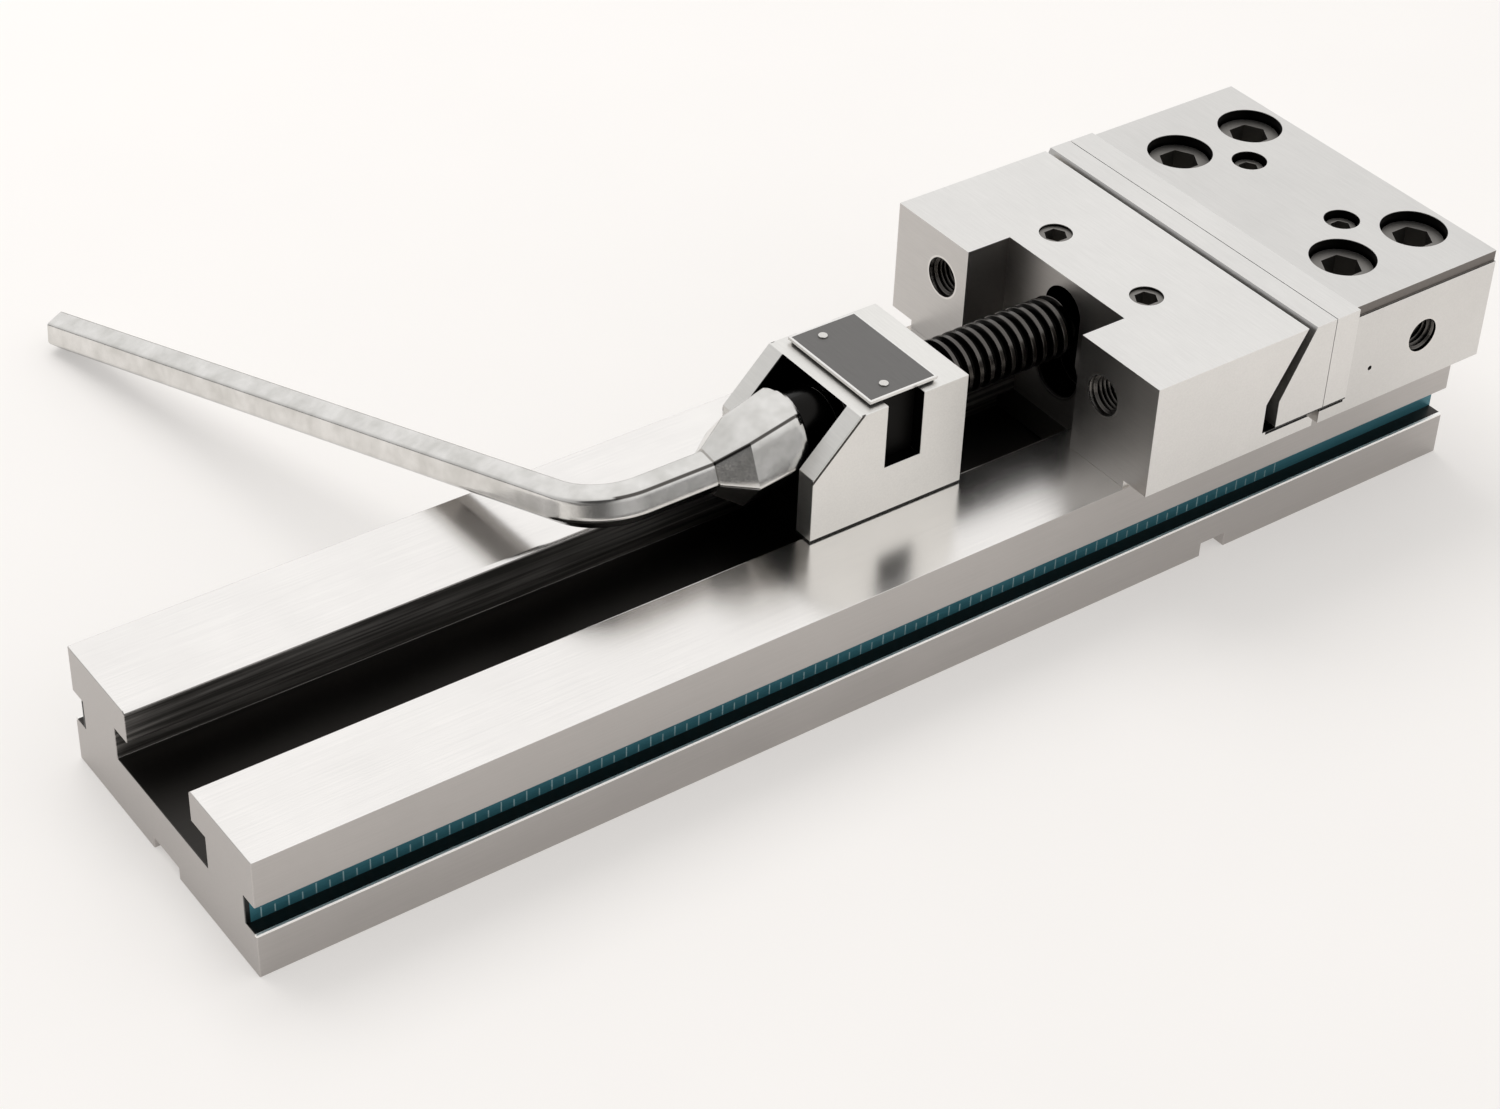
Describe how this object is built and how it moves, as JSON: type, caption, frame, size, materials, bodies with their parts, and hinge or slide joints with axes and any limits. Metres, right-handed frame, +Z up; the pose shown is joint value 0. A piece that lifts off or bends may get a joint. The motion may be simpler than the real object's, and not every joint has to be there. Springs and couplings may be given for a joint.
{
  "type": "modular machine vise",
  "caption": "Modular machine vise: T-slotted rail, bolted fixed jaw, screw-driven pull-down jaw, sliding spindle bracket and hexagonal crank.",
  "frame": {"origin": "on the underside of the rail, halfway along it and on its centre line, in the mouth of the long key slot", "axes": "+X along the rail from its open end to the fixed jaw, +Z up, +Y towards the side the crank lies on"},
  "size_m": [0.53, 0.3768, 0.1001],
  "materials": {
    "ground_steel": "ground, oiled",
    "pale_steel": "finely ground, bead blasted sides",
    "black_steel": "black oxide",
    "bright_crank": "bright zinc plate",
    "strip": "blue-green anodised",
    "plate": "dark printed face, bright border",
    "gasket": "black foam rubber",
    "bright_pin": "hardened and ground"
  },
  "bodies": {
    "rail": {"rail": "ground_steel", "scale_strips": "strip", "fixed_jaw": "pale_steel", "fixed_jaw_bolts": "black_steel", "jaw_plug_screws": "black_steel", "fixed_insert": "pale_steel", "insert_screws": "black_steel"},
    "bracket": {"spindle_bracket": "pale_steel", "lead_nut": "black_steel", "plate_gasket": "gasket", "cover_plate": "plate", "plate_rivets": "bright_pin", "bracket_shoe": "black_steel", "bracket_shoe_screws": "black_steel"},
    "movable_jaw": {"movable_jaw": "pale_steel", "jaw_keeper": "black_steel", "jaw_keeper_screws": "black_steel", "spindle_fork": "bright_pin", "jaw_grub_screws": "black_steel"},
    "spindle": {"spindle": "black_steel", "crank": "bright_crank"},
    "movable_insert": {"movable_insert": "pale_steel", "guide_pins": "bright_pin"}
  },
  "joints": [
    {"name": "bracket_slide", "type": "slide", "parent": "rail", "child": "bracket", "axis": [1, 0, 0], "range_m": [-0.24, 0]},
    {"name": "jaw_feed", "type": "slide", "parent": "bracket", "child": "movable_jaw", "axis": [1, 0, 0], "range_m": [0, 0.00278]},
    {"name": "spindle_turn", "type": "hinge", "parent": "movable_jaw", "child": "spindle", "pos_m": [0, 0, 0.08], "axis": [1, 0, 0], "range_deg": [0, 200]},
    {"name": "insert_lag", "type": "slide", "parent": "movable_jaw", "child": "movable_insert", "axis": [1, 0, 0], "range_m": [-0.00278, 0]}
  ],
  "couplings": [
    {"joint": "jaw_feed", "follows": "spindle_turn", "m_per_rad": 0.00079577},
    {"joint": "insert_lag", "follows": "spindle_turn", "m_per_rad": -0.00079577}
  ]
}
